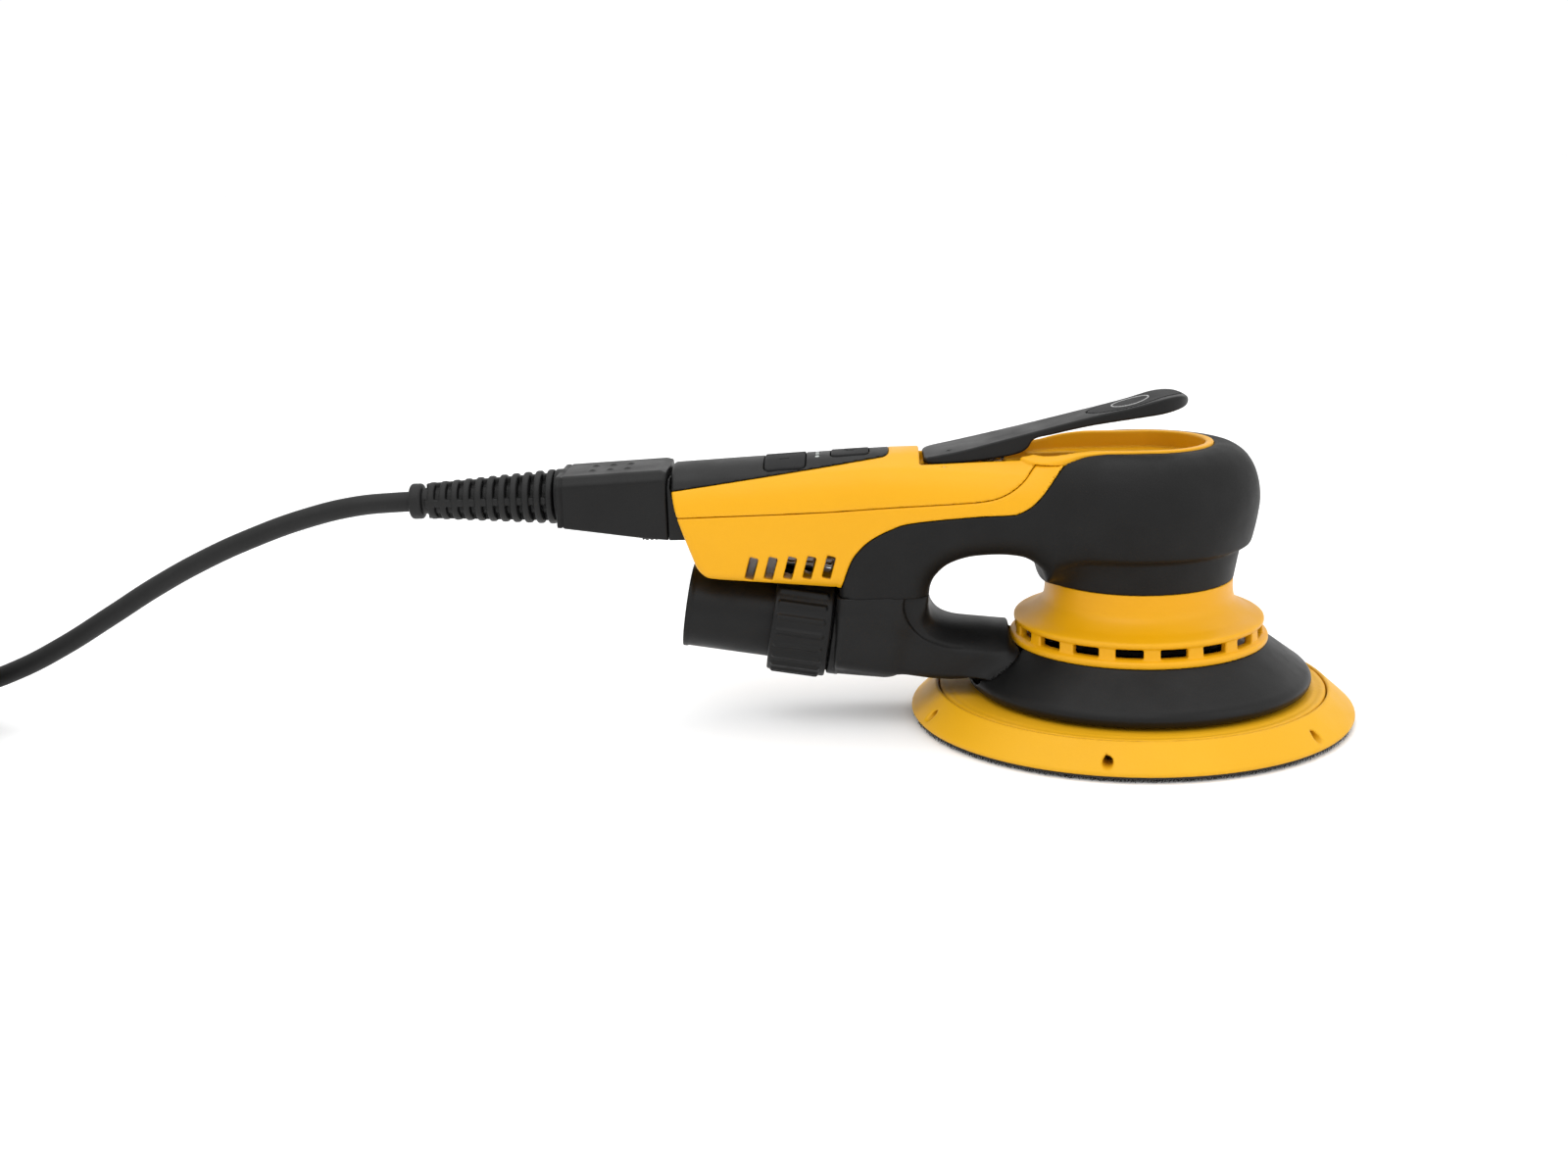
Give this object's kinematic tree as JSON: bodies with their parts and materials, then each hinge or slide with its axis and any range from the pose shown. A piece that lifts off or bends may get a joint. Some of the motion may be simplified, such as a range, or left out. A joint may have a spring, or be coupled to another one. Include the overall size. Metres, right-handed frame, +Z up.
{
  "type": "random orbital sander",
  "caption": "Corded palm-grip random-orbital sander: round hook-faced pad, dust shroud, yellow and black body, rear handle with keypad, top lever, swivelling dust outlet and coiled mains lead.",
  "frame": {"origin": "on the motor axis, in the plane of the pad's sanding face", "axes": "+X from the handle towards the front of the palm head, +Y towards the tool's left-hand side seen from the handle, +Z up along the motor axis"},
  "size_m": [0.583, 0.1805, 0.1116],
  "materials": {
    "hook_pile": "matte hooks",
    "pad_yellow": "satin moulded polyurethane",
    "yellow_plastic": "satin moulded plastic",
    "steel": "machined",
    "laminated_steel": "stacked laminations",
    "magnet": "nickel plated",
    "copper": "enamelled wire",
    "aluminium": "cast and machined",
    "soft_black": "fine matte soft grip",
    "black_plastic": "fine satin moulding",
    "key_rubber": "matte",
    "black_rubber": "matte",
    "led_lens": "frosted clear",
    "circuit_board": "solder mask",
    "capacitor_sleeve": "shrink sleeve",
    "tie": "woven strap"
  },
  "bodies": {
    "housing": {"stator_core": "laminated_steel", "stator_windings": "copper", "motor_flange": "aluminium", "upper_bearing": "steel", "lower_bearing": "steel", "upper_bearing_seat": "aluminium", "vent_ring": "yellow_plastic", "fan_plate": "aluminium", "dust_shroud": "black_plastic", "brake_seal": "black_rubber", "shroud_screws": "steel", "palm_grip": "soft_black", "grip_arm": "soft_black", "main_housing": "yellow_plastic", "top_cover": "yellow_plastic", "control_panel": "black_plastic", "cover_screws": "steel", "duct_screws": "steel", "lever_pin": "steel", "lever_spring": "steel", "status_leds": "led_lens", "switch_board": "circuit_board", "controller_board": "circuit_board", "capacitors": "capacitor_sleeve", "heat_sink": "aluminium", "lever_sensor": "circuit_board", "inlet_socket": "black_plastic", "inlet_pins": "steel", "dust_duct": "black_plastic", "cord_connector": "black_plastic", "strain_relief": "black_rubber", "cord": "black_rubber", "cord_coil": "black_rubber", "coil_tie": "tie", "plug_lead": "black_rubber", "mains_plug": "black_rubber", "plug_pins": "steel"},
    "pad": {"hook_face": "hook_pile", "pad_foam": "pad_yellow", "pad_plate": "pad_yellow", "pad_spindle": "steel"},
    "rotor": {"rotor_shaft": "steel", "rotor_core": "laminated_steel", "rotor_magnets": "magnet", "cooling_fan": "black_plastic", "counterweight": "steel", "pad_bearing": "steel"},
    "lever": {"lever": "black_plastic", "lever_insert": "key_rubber", "lever_magnet": "steel"},
    "power_button": {"power_button": "key_rubber"},
    "speed_up_button": {"speed_up_button": "key_rubber"},
    "speed_down_button": {"speed_down_button": "key_rubber"},
    "dust_outlet": {"dust_outlet": "black_plastic", "outlet_seal": "black_rubber"},
    "outlet_nut": {"outlet_nut": "black_plastic"},
    "connector_latch": {"connector_latch": "black_plastic"}
  },
  "joints": [
    {"name": "motor_spin", "type": "hinge", "parent": "housing", "child": "rotor", "pos_m": [0, 0, 0.05], "axis": [0, 0, 1], "continuous": true},
    {"name": "pad_spin", "type": "hinge", "parent": "rotor", "child": "pad", "pos_m": [-0.0025, 0, 0.015], "axis": [0, 0, 1], "continuous": true},
    {"name": "lever_press", "type": "hinge", "parent": "housing", "child": "lever", "pos_m": [-0.066, 0, 0.088], "axis": [0, 1, 0], "range_deg": [0, 8.5], "stiffness_Nm_per_rad": 1.2, "springref_deg": -8.59, "deforming": ["lever_spring"]},
    {"name": "power_button_press", "type": "slide", "parent": "housing", "child": "power_button", "axis": [0, 0, -1], "range_m": [0, 0.0008], "stiffness_N_per_m": 800, "springref_m": -0.0004},
    {"name": "speed_up_press", "type": "slide", "parent": "housing", "child": "speed_up_button", "axis": [0, 0, -1], "range_m": [0, 0.0008], "stiffness_N_per_m": 800, "springref_m": -0.0004},
    {"name": "speed_down_press", "type": "slide", "parent": "housing", "child": "speed_down_button", "axis": [0, 0, -1], "range_m": [0, 0.0008], "stiffness_N_per_m": 800, "springref_m": -0.0004},
    {"name": "outlet_swivel", "type": "hinge", "parent": "housing", "child": "dust_outlet", "pos_m": [-0.107, 0, 0.033], "axis": [0.9869, 0, -0.1616], "continuous": true},
    {"name": "nut_turn", "type": "hinge", "parent": "housing", "child": "outlet_nut", "pos_m": [-0.107, 0, 0.033], "axis": [0.9869, 0, -0.1616], "range_deg": [0, 30]},
    {"name": "connector_latch_press", "type": "slide", "parent": "housing", "child": "connector_latch", "axis": [0, 0, 1], "range_m": [0, 0.001], "stiffness_N_per_m": 900, "springref_m": -0.0004}
  ]
}
